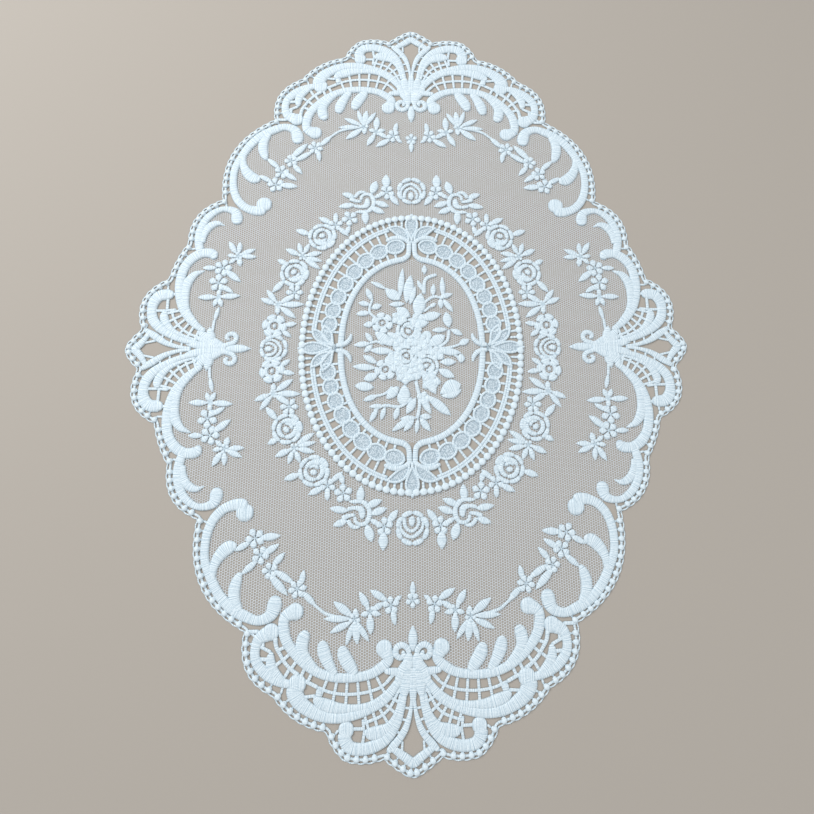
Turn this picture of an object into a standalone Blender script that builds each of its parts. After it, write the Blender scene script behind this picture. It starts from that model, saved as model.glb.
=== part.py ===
"""A lace doily, 300 x 400 mm: scroll border, net ground, oval ring and net centre, all lying flat.

The doily lies on the plane z = 0 with its long side along Y. It is the same in all four quadrants,
so each outline is given for the one where X and Y are positive, running clockwise from the long
axis to the short one, and is mirrored into the rest. Lengths are in millimetres until a curve is
made from them.
"""

import math

import bpy
from mathutils import Matrix, Vector

MM = 0.001  # metres in a millimetre

# Driving dimensions.
HALF_WIDTH = 150.0
HALF_LENGTH = 200.0
EMBROIDERY_THICKNESS = 1.6  # border and ring, worked solid in satin stitch
NET_THICKNESS = 1.0
SEAM_GAP = 0.3  # between neighbouring pieces
SEAM_STEP = 4.0  # facet length along the seam between border and net

# The border's outer edge is a row of small round beads along shallow arcs.
EDGE_BEAD_PITCH = 4.5
EDGE_BEAD_DEPTH = 1.1
TIP_BEAD = 1.6  # half the width of the bead that stands on each of the four tips
SHOULDERS = (0.27, 0.73)  # where a bead's flat crown starts and stops, as parts of the pitch

# One row for each arc of the outer edge: where it starts, and its rise beyond its chord.
#    x      y     rise
SCALLOPS = (
    (2.4, 199.2, 0.3),  # flank of the tip over the long end
    (13.5, 192.4, 1.2),  # scallop beside it, in two arcs
    (31.0, 192.6, 1.0),
    (40.0, 180.6, 2.4),  # long shoulder scallop, in two arcs
    (74.0, 156.8, 2.6),
    (80.0, 137.0, 10.4),  # corner scallop
    (106.0, 86.0, 5.8),  # two scallops down the side
    (122.8, 59.5, 1.1),
    (131.2, 39.0, 7.2),  # scallop beside the side tip
    (142.6, 10.6, 0.6),  # flank of the side tip
    (149.2, 2.4, 0.0),  # end of the last arc
)

# One row for each point of the seam between border and net, along the inside of the scrolls.
#    x      y
SEAM = (
    (0.0, 143.5),
    (8.0, 144.5),
    (15.5, 149.5),
    (23.0, 155.0),
    (34.0, 155.5),
    (46.0, 150.5),
    (55.0, 142.5),
    (59.5, 132.5),
    (66.0, 128.0),
    (75.0, 130.0),
    (84.0, 126.5),
    (91.5, 119.0),
    (96.5, 109.5),
    (98.8, 98.0),
    (96.0, 87.0),
    (95.5, 80.0),
    (103.0, 78.0),
    (111.0, 73.5),
    (114.8, 63.0),
    (115.5, 53.5),
    (119.0, 46.0),
    (119.5, 32.0),
    (118.0, 20.5),
    (110.0, 10.5),
    (101.5, 4.5),
    (98.0, 0.0),
)

# One row for each of the two sorts of kite-shaped eyelet, which sit on the axes behind the tips.
#    axis   narrow end  shoulders  point  half width
EYELETS = (
    ("Y", 178.0, 187.2, 192.0, 6.2),
    ("X", 126.0, 136.5, 142.0, 5.0),
)

# One row for each of the largest open cells of the border, four of each: middle and half width.
#    x      y     half width
CELLS = (
    (25.2, 182.6, 2.6),
    (133.3, 23.5, 2.6),
)
CELL_CHAMFER = 0.8

# The ring lies between two ovals, ellipses made slightly square by a power over 2.
OVAL_POWER = 2.07
OVAL_STEPS = 720  # fine steps around an oval before its points are spaced evenly
OVAL_FACETS = 120
RING_BEADS = 112
BEAD_STEPS = 100  # fine steps along the bead line for each bead
RING_BEAD_LINE = (58.3, 75.0)  # half width and half length through the middles of the beads
RING_BEAD_CROWN = 1.8  # from that line out to a bead's crown
RING_BEAD_NOTCH = 0.8  # and out to the dip between two beads
RING_INSIDE = (36.2, 50.0)
CUSP_RISE = 2.0  # the ring's inside edge rises to a point on the long axis
CUSP_WIDTH = 2.4

# Finishes.
THREAD_WHITE = (0.72, 0.82, 0.88, 1.0)
NET_WHITE = (0.66, 0.74, 0.79, 1.0)


def empty_scene():
    for obj in list(bpy.data.objects):
        bpy.data.objects.remove(obj, do_unlink=True)


def fabric(name, colour, roughness):
    material = bpy.data.materials.new(name)
    material.use_nodes = True
    shader = material.node_tree.nodes["Principled BSDF"]
    shader.inputs["Base Color"].default_value = colour
    shader.inputs["Roughness"].default_value = roughness
    shader.inputs["Metallic"].default_value = 0.0
    return material


def right_of(direction):
    """Unit vector to the right of a direction, which is inwards on a loop that runs clockwise."""
    return Vector((direction.y, -direction.x)).normalized()


def mirrored(quadrant):
    """Closed clockwise loop from one quadrant's points, each corner on an axis counted once."""
    half = quadrant + [Vector((p.x, -p.y)) for p in reversed(quadrant)]
    loop = half + [Vector((-p.x, p.y)) for p in reversed(half)]
    return [p for i, p in enumerate(loop) if (p - loop[i - 1]).length > SEAM_GAP]


def arc_point(start, end, rise, t, depth):
    """Point at the fraction t of an arc that stands rise outside its chord, moved in by depth."""
    chord = end - start
    inwards = right_of(chord)
    if rise == 0.0:
        return start.lerp(end, t) + inwards * depth
    radius = (chord.length_squared / 4 + rise**2) / (2 * rise)
    centre = (start + end) / 2 + inwards * (radius - rise)
    half_turn = math.asin(chord.length / 2 / radius)
    outwards = Matrix.Rotation(half_turn * (1 - 2 * t), 2) @ -inwards
    return centre + outwards * (radius - depth)


def beaded_edge():
    """Outer edge of the border: a notch and a flat crown for every bead along every arc."""
    quadrant = [Vector((TIP_BEAD, HALF_LENGTH))]
    for (x0, y0, rise), (x1, y1, _) in zip(SCALLOPS, SCALLOPS[1:]):
        start, end = Vector((x0, y0)), Vector((x1, y1))
        beads = max(1, round((end - start).length / EDGE_BEAD_PITCH))
        for bead in range(beads):
            quadrant.append(arc_point(start, end, rise, bead / beads, EDGE_BEAD_DEPTH))
            for shoulder in SHOULDERS:
                quadrant.append(arc_point(start, end, rise, (bead + shoulder) / beads, 0.0))
    quadrant.append(arc_point(start, end, rise, 1.0, EDGE_BEAD_DEPTH))
    quadrant.append(Vector((HALF_WIDTH, TIP_BEAD)))
    return mirrored(quadrant)


def evenly_spaced(loop, count):
    """count points at equal distances along a closed loop of points."""
    lengths = [(loop[i] - loop[i - 1]).length for i in range(len(loop))]
    step = sum(lengths) / count
    points = []
    travelled = 0.0
    for i, length in enumerate(lengths):
        while len(points) < count and len(points) * step <= travelled + length:
            points.append(loop[i - 1].lerp(loop[i], (len(points) * step - travelled) / length))
        travelled += length
    return points


def smooth_loop(control):
    """Closed smooth curve through control points, by Catmull-Rom, in steps of about SEAM_STEP."""
    points = []
    count = len(control)
    for i, start in enumerate(control):
        before = control[i - 1]
        end = control[(i + 1) % count]
        after = control[(i + 2) % count]
        steps = max(1, round((end - start).length / SEAM_STEP))
        for k in range(steps):
            t = k / steps
            points.append(
                start
                + (end - before) * t / 2
                + (before * 2 - start * 5 + end * 4 - after) * t**2 / 2
                + (start * 3 - before - end * 3 + after) * t**3 / 2
            )
    return points


def oval(half_width, half_length, cusp_rise=0.0):
    """Closed clockwise loop of fine steps, from the +Y end, with a cusp on the long axis."""
    loop = []
    for step in range(OVAL_STEPS):
        turn = 2 * math.pi * step / OVAL_STEPS
        x = math.copysign(abs(math.sin(turn)) ** (2 / OVAL_POWER), math.sin(turn)) * half_width
        y = math.copysign(abs(math.cos(turn)) ** (2 / OVAL_POWER), math.cos(turn)) * half_length
        rise = cusp_rise * math.exp(-abs(x) / CUSP_WIDTH)
        loop.append(Vector((x, y + math.copysign(rise, y))))
    return loop


def moved_in(loop, distance):
    """The loop with each point moved inwards, square to the line through its neighbours."""
    count = len(loop)
    return [p + right_of(loop[(i + 1) % count] - loop[i - 1]) * distance for i, p in enumerate(loop)]


def beaded_oval():
    """Outer edge of the ring: a notch and a flat crown for every bead."""
    offsets = (RING_BEAD_NOTCH, RING_BEAD_CROWN, RING_BEAD_CROWN)
    places = (0.0, *SHOULDERS)
    fine = RING_BEADS * BEAD_STEPS
    line = evenly_spaced(oval(*RING_BEAD_LINE), fine)
    inner_normals = [right_of(line[(i + 1) % fine] - line[i - 1]) for i in range(fine)]
    points = []
    for bead in range(RING_BEADS):
        for place, offset in zip(places, offsets):
            at = round((bead + 0.5 + place) * fine / RING_BEADS) % fine
            points.append(line[at] - inner_normals[at] * offset)
    return points


def kite(axis, narrow, shoulders, point, half_width, side):
    """Outline of an eyelet on one axis, on the positive side or, with side -1, the negative one."""
    outline = ((0.0, narrow), (half_width, shoulders), (0.0, point), (-half_width, shoulders))
    if axis == "Y":
        return [Vector((across, along * side)) for across, along in outline]
    return [Vector((along * side, across)) for across, along in outline]


def cell(x, y, half):
    """Outline of an open cell: a square with its corners cut off."""
    short = half - CELL_CHAMFER
    corners = (
        (short, half),
        (half, short),
        (half, -short),
        (short, -half),
        (-short, -half),
        (-half, -short),
        (-half, short),
        (-short, half),
    )
    return [Vector((x + dx, y + dy)) for dx, dy in corners]


def border_openings():
    kites = [kite(*row, side) for row in EYELETS for side in (1, -1)]
    cells = []
    for x, y, half in CELLS:
        for across, along in ((1, 1), (1, -1), (-1, 1), (-1, -1)):
            cells.append(cell(x * across, y * along, half))
    return kites + cells


def flat_piece(name, outlines, thickness, material, collection):
    """A flat sheet of that thickness on z = 0. Outlines inside the first one are its holes."""
    curve = bpy.data.curves.new(name, "CURVE")
    curve.dimensions = "2D"
    curve.fill_mode = "BOTH"
    curve.extrude = thickness * MM / 2
    curve.resolution_u = 1
    curve.render_resolution_u = 0
    for outline in outlines:
        spline = curve.splines.new("POLY")
        spline.points.add(len(outline) - 1)
        for slot, point in zip(spline.points, outline):
            slot.co = (point.x * MM, point.y * MM, 0.0, 1.0)
        spline.use_cyclic_u = True
    curve.materials.append(material)
    piece = bpy.data.objects.new(name, curve)
    piece.location.z = thickness * MM / 2
    collection.objects.link(piece)
    return piece


def build():
    empty_scene()
    doily = bpy.data.collections.new("lace_doily")
    bpy.context.scene.collection.children.link(doily)

    seam = smooth_loop(mirrored([Vector(point) for point in SEAM]))
    ring_inside = evenly_spaced(oval(*RING_INSIDE, CUSP_RISE), OVAL_FACETS)
    clear_of_beads = [half + RING_BEAD_CROWN + SEAM_GAP for half in RING_BEAD_LINE]
    net_inside = evenly_spaced(oval(*clear_of_beads), OVAL_FACETS)

    thread = fabric("satin_thread", THREAD_WHITE, 0.6)
    net = fabric("net_thread", NET_WHITE, 0.7)
    border = [beaded_edge(), seam, *border_openings()]
    flat_piece("scroll_border", border, EMBROIDERY_THICKNESS, thread, doily)
    flat_piece("net_ground", [moved_in(seam, SEAM_GAP), net_inside], NET_THICKNESS, net, doily)
    flat_piece("oval_ring", [beaded_oval(), ring_inside], EMBROIDERY_THICKNESS, thread, doily)
    flat_piece("net_centre", [moved_in(ring_inside, SEAM_GAP)], NET_THICKNESS, net, doily)


build()
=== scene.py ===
"""A lace doily, 300 x 400 mm, lying flat: a border of satin scrolls with a beaded edging, a net
ground with sprays and a garland of roses, an oval ring of beads and sheer discs, and a net centre
with a bouquet.

X runs across the doily, Y along it and Z up. Sizes are in millimetres until MM turns them to
metres. Border, sprays, garland and ring repeat in all four quadrants, so they are given for the
one where X and Y are positive. A station is a point of a stitched band: x, y and half width.
"""

import math

import bpy
import numpy
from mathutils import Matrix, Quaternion, Vector


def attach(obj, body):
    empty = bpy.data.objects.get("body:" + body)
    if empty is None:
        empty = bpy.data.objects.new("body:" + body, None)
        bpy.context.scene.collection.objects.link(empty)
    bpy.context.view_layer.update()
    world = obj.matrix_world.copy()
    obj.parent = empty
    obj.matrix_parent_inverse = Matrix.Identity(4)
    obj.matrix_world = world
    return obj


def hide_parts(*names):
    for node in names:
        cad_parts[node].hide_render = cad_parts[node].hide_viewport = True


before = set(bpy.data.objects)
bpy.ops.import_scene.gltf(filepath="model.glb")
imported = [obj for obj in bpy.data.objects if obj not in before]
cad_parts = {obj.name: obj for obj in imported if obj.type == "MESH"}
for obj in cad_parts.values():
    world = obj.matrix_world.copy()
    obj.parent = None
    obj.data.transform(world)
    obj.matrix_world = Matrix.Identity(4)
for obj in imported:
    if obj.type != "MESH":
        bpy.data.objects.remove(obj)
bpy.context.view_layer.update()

# ---------------------------------------------------------------------------------------------
# Scrolls, leaves and fans of the border.
# Solid satin stitch in white polyester thread, worked by machine over a flat core, so each band is
# domed and ribbed across. Neighbouring bands are caught together where they touch.

MM = 0.001
STITCH = 0.8  # from one rib to the next; real stitches lie closer, this is the finest that shows
SPREAD = 0.15  # the thread spreads this far past the drawn edge of a band
BORDER_BASE = 0.1  # underside of the satin above the table
BORDER_CROWN = 1.05  # height of a wide band above its underside
DOME = 0.45  # power that turns the half round section into a flat-topped dome
FULL_CROWN_HALF = 1.3  # a band with a smaller half width than this is lower
RIB_NARROWER = 0.05  # every second section is drawn in by this
RIB_LOWER = 0.12  # and lower by this share
RIB_SHADE = 0.3  # and darker by this share of the way from lit to shaded
STREAK_WIDTH = 0.5  # a thread is 0.25 mm, drawn twice as coarse so that it shows
FIBRE_SPOT = 0.6  # tufts of loose fibre; real fibres are far too fine to show
MIDDLE_GREY = 0.42  # the noise value that leaves the colour as it is


def linear(code):
    """An sRGB hex colour as the linear RGBA that Blender's sockets take."""
    parts = [int(code[i : i + 2], 16) / 255 for i in (1, 3, 5)]
    parts = [p / 12.92 if p <= 0.04045 else ((p + 0.055) / 1.055) ** 2.4 for p in parts]
    return (*parts, 1.0)


def add(tree, kind, links=None, **settings):
    """Adds a node. Each entry of links is an input's value, or the socket that feeds it. A node
    given there feeds it from its first output."""
    node = tree.nodes.new(kind)
    for name, value in settings.items():
        setattr(node, name, value)
    for key, value in (links or {}).items():
        if isinstance(value, bpy.types.Node):
            value = value.outputs[0]
        if isinstance(value, bpy.types.NodeSocket):
            tree.links.new(value, node.inputs[key])
        else:
            node.inputs[key].default_value = value
    return node


def laid_thread(name, lit, shaded, roughness, streak, fluff):
    """Lustrous thread laid in satin stitch: its threads show as fine streaks across the band, and
    it has painted shade between two ribs. streak and fluff say how strongly thread and fibre show."""
    material = bpy.data.materials.new(name)
    material.use_nodes = True
    tree = material.node_tree
    shader = tree.nodes["Principled BSDF"]
    shader.inputs["Roughness"].default_value = roughness
    shader.inputs["Sheen Weight"].default_value = 0.15
    shader.inputs["Sheen Roughness"].default_value = 0.4
    shader.inputs["IOR"].default_value = 1.5
    along = add(tree, "ShaderNodeAttribute", attribute_name="along")
    streaks = add(
        tree, "ShaderNodeMath", {0: along.outputs["Fac"], 1: STREAK_WIDTH * MM}, operation="DIVIDE"
    )
    threads = add(
        tree,
        "ShaderNodeTexNoise",
        {"W": streaks, "Scale": 1.0, "Detail": 1.0},
        noise_dimensions="1D",
    )
    place = add(tree, "ShaderNodeTexCoord")
    fibres = add(
        tree,
        "ShaderNodeTexNoise",
        {"Vector": place.outputs["Object"], "Scale": 1 / (FIBRE_SPOT * MM), "Detail": 2.0},
    )
    # Painted shade on every second rib, then the streaks of the threads and the tufts of fibre, all
    # mixed from lit towards shaded.
    rib = add(tree, "ShaderNodeAttribute", attribute_name="rib")
    shade = add(tree, "ShaderNodeMath", {0: rib.outputs["Fac"], 1: RIB_SHADE}, operation="MULTIPLY")
    for noise, strength in ((threads, streak), (fibres, fluff)):
        above = add(
            tree, "ShaderNodeMath", {0: noise.outputs["Fac"], 1: MIDDLE_GREY}, operation="SUBTRACT"
        )
        scaled = add(tree, "ShaderNodeMath", {0: above, 1: strength}, operation="MULTIPLY")
        shade = add(tree, "ShaderNodeMath", {0: shade, 1: scaled}, operation="ADD")
    colour = add(
        tree,
        "ShaderNodeMix",
        {"Factor": shade, 6: linear(lit), 7: linear(shaded)},
        data_type="RGBA",
    )
    relief = add(
        tree,
        "ShaderNodeMath",
        {0: threads.outputs["Fac"], 1: fibres.outputs["Fac"]},
        operation="ADD",
    )
    bump = add(tree, "ShaderNodeBump", {"Height": relief, "Strength": 0.5, "Distance": 0.06 * MM})
    tree.links.new(colour.outputs[2], shader.inputs["Base Color"])
    tree.links.new(bump.outputs["Normal"], shader.inputs["Normal"])
    return material


def new_tree(name, inputs):
    """An empty geometry node tree, its named inputs and its group input and output nodes."""
    tree = bpy.data.node_groups.new(name, "GeometryNodeTree")
    tree.interface.new_socket("Geometry", in_out="INPUT", socket_type="NodeSocketGeometry")
    for label, kind in inputs:
        tree.interface.new_socket(label, in_out="INPUT", socket_type="NodeSocket" + kind)
    tree.interface.new_socket("Geometry", in_out="OUTPUT", socket_type="NodeSocketGeometry")
    return tree, tree.nodes.new("NodeGroupInput"), tree.nodes.new("NodeGroupOutput")


def dye(tree, shape, given, result):
    """Ends a node tree: one smooth mesh of the shape, in the thread that was given."""
    rounded = add(tree, "GeometryNodeSetShadeSmooth", {"Geometry": shape})
    whole = add(tree, "GeometryNodeRealizeInstances", {"Geometry": rounded})
    dyed = add(
        tree, "GeometryNodeSetMaterial", {"Geometry": whole, "Material": given.outputs["Thread"]}
    )
    tree.links.new(dyed.outputs[0], result.inputs["Geometry"])


def satin_tree():
    """Sweeps a domed section along each band, every second section lower and narrower."""
    inputs = (("Stitch", "Float"), ("Base", "Float"), ("Crown", "Float"), ("Thread", "Material"))
    tree, given, result = new_tree("satin_stitch", inputs)
    half_stitch = add(
        tree, "ShaderNodeMath", {0: given.outputs["Stitch"], 1: 0.5}, operation="MULTIPLY"
    )
    bands = add(
        tree,
        "GeometryNodeResampleCurve",
        {"Curve": given.outputs["Geometry"], "Length": half_stitch},
        mode="LENGTH",
    )
    index = add(tree, "GeometryNodeInputIndex")
    odd = add(tree, "ShaderNodeMath", {0: index, 1: 2.0}, operation="MODULO")
    radius = add(tree, "GeometryNodeInputRadius")
    distance = add(tree, "GeometryNodeSplineParameter")
    kept = add(tree, "GeometryNodeCaptureAttribute", {"Geometry": bands})
    captured = (("between", odd.outputs[0]), ("width", radius.outputs[0]))
    captured += (("along", distance.outputs["Length"]),)
    for i, (label, source) in enumerate(captured, 1):
        kept.capture_items.new("FLOAT", label)
        tree.links.new(source, kept.inputs[i])
    between, width, along = kept.outputs[1:4]
    arc = add(
        tree,
        "GeometryNodeCurveArc",
        {"Resolution": 7, "Radius": 1.0, "Start Angle": 0.0, "Sweep Angle": math.pi},
        mode="RADIUS",
    )
    section = add(tree, "GeometryNodeSetSplineCyclic", {"Geometry": arc, "Cyclic": True})
    position = add(tree, "GeometryNodeInputPosition")
    height = add(tree, "ShaderNodeSeparateXYZ", {0: position})
    above = add(tree, "ShaderNodeMath", {0: height.outputs["Y"], 1: 0.0}, operation="MAXIMUM")
    flatter = add(tree, "ShaderNodeMath", {0: above, 1: DOME}, operation="POWER")
    domed = add(tree, "GeometryNodeCaptureAttribute", {"Geometry": section})
    domed.capture_items.new("FLOAT", "height")
    tree.links.new(flatter.outputs[0], domed.inputs[1])
    narrower = add(tree, "ShaderNodeMath", {0: between, 1: -RIB_NARROWER * MM}, operation="MULTIPLY")
    half = add(tree, "ShaderNodeMath", {0: width, 1: narrower}, operation="ADD")
    swept = add(
        tree,
        "GeometryNodeCurveToMesh",
        {"Curve": kept, "Profile Curve": domed, "Scale": half, "Fill Caps": True},
    )
    fullness = add(tree, "ShaderNodeMath", {0: width, 1: FULL_CROWN_HALF * MM}, operation="DIVIDE")
    slope = add(tree, "ShaderNodeMath", {0: fullness, 1: 1.0}, operation="MINIMUM")
    lower = add(tree, "ShaderNodeMath", {0: between, 1: RIB_LOWER}, operation="MULTIPLY")
    ribbed = add(tree, "ShaderNodeMath", {0: 1.0, 1: lower}, operation="SUBTRACT")
    share = add(tree, "ShaderNodeMath", {0: slope, 1: ribbed}, operation="MULTIPLY")
    crown = add(tree, "ShaderNodeMath", {0: given.outputs["Crown"], 1: share}, operation="MULTIPLY")
    top = add(
        tree,
        "ShaderNodeMath",
        {0: domed.outputs[1], 1: crown, 2: given.outputs["Base"]},
        operation="MULTIPLY_ADD",
    )
    flat = add(tree, "ShaderNodeSeparateXYZ", {0: position})
    place = add(
        tree, "ShaderNodeCombineXYZ", {"X": flat.outputs["X"], "Y": flat.outputs["Y"], "Z": top}
    )
    outwards = add(tree, "GeometryNodeFlipFaces", {"Mesh": swept})
    marked = add(tree, "GeometryNodeSetPosition", {"Geometry": outwards, "Position": place})
    for label, source in (("rib", between), ("along", along)):
        marked = add(
            tree,
            "GeometryNodeStoreNamedAttribute",
            {"Geometry": marked, "Name": label, "Value": source},
            data_type="FLOAT",
            domain="POINT",
        )
    dye(tree, marked, given, result)
    return tree


def worked(name, source, tree, sizes):
    """Runs a node tree on a source object and keeps the result as a stitched piece."""
    modifier = source.modifiers.new("worked", "NODES")
    modifier.node_group = tree
    for item in tree.interface.items_tree:
        if item.in_out == "INPUT" and item.name in sizes:
            modifier[item.identifier] = sizes[item.name]
    graph = bpy.context.evaluated_depsgraph_get()
    mesh = bpy.data.meshes.new_from_object(source.evaluated_get(graph))
    mesh.name = name
    mesh.materials.clear()
    mesh.materials.append(sizes["Thread"])
    source.modifiers.remove(modifier)
    bpy.data.objects.remove(source)
    piece = bpy.data.objects.new(name, mesh)
    bpy.context.scene.collection.objects.link(piece)
    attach(piece, "root")
    return piece


def path_object(paths, closed=False):
    """A curve object with a spline for each path, a point's radius being its half width."""
    curve = bpy.data.curves.new("path", "CURVE")
    curve.dimensions = "3D"
    curve.twist_mode = "Z_UP"
    for path in paths:
        spline = curve.splines.new("POLY")
        spline.points.add(len(path) - 1)
        for point, (x, y, half) in zip(spline.points, path):
            point.co = (x * MM, y * MM, 0.0, 1.0)
            point.radius = (half + SPREAD) * MM
        spline.use_cyclic_u = closed
    source = bpy.data.objects.new("path", curve)
    bpy.context.scene.collection.objects.link(source)
    return source


SATIN = satin_tree()


def satin(name, bands, thread, base, crown, closed=False, stitch=STITCH):
    """Bands worked in satin stitch, as one piece: base is its underside and crown its height."""
    sizes = {"Stitch": stitch * MM, "Base": base * MM, "Crown": crown * MM, "Thread": thread}
    return worked(name, path_object(bands, closed), SATIN, sizes)


def through(stations, step=1.0):
    """A smooth path through the stations, with a station every step or so."""
    rows = numpy.array(stations, float)
    chords = numpy.hypot(*numpy.diff(rows[:, :2], axis=0).T)
    slopes = numpy.gradient(rows, numpy.concatenate([[0.0], numpy.cumsum(chords)]), axis=0)
    parts = []
    for i, chord in enumerate(chords):
        t = numpy.linspace(0, 1, max(2, round(chord / step) + 1))[:-1, None]
        parts.append(
            rows[i] * (2 * t**3 - 3 * t**2 + 1)
            + rows[i + 1] * (3 * t**2 - 2 * t**3)
            + slopes[i] * chord * (t**3 - 2 * t**2 + t)
            + slopes[i + 1] * chord * (t**3 - t**2)
        )
    return numpy.vstack([*parts, rows[-1:]])


def band(stations, least=0.08):
    """A stitched band whose ends are rounded off by the half width they have there."""
    path = through(stations, step=0.4)
    steps = numpy.hypot(*numpy.diff(path[:, :2], axis=0).T)
    along = numpy.concatenate([[0.0], numpy.cumsum(steps)])
    for distance, end in ((along, path[0, 2]), (along[-1] - along, path[-1, 2])):
        near = distance < end
        cap = numpy.sqrt(numpy.maximum(end**2 - (end - distance[near]) ** 2, 0.0))
        path[near, 2] = numpy.minimum(path[near, 2], cap)
    path[:, 2] = numpy.maximum(path[:, 2], least)
    return path


def knob(x, y, half):
    """A round pad, at the end of a scroll or in the middle of a flower."""
    return band(((x - half, y, half), (x, y, half), (x + half, y, half)))


def leaf(x0, y0, x1, y1, width, bend=0.0, belly=0.5):
    """A leaf from base to tip. bend bows it to the left, belly says where it is widest."""
    path = []
    power = math.log(0.5) / math.log(belly)
    for t in numpy.linspace(0, 1, 9):
        bow = bend * 4 * t * (1 - t)
        half = width / 2 * max(0.0, math.sin(math.pi * t**power)) ** 0.82
        path.append((x0 + (x1 - x0) * t - (y1 - y0) * bow, y0 + (y1 - y0) * t + (x1 - x0) * bow, half))
    return band(path)


def repeated(paths, across=(1, -1), along=(1, -1)):
    """The paths and their mirror images over the long and the short axis."""
    return [numpy.array(p) * (i, j, 1) for p in paths for i in across for j in along]


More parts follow.
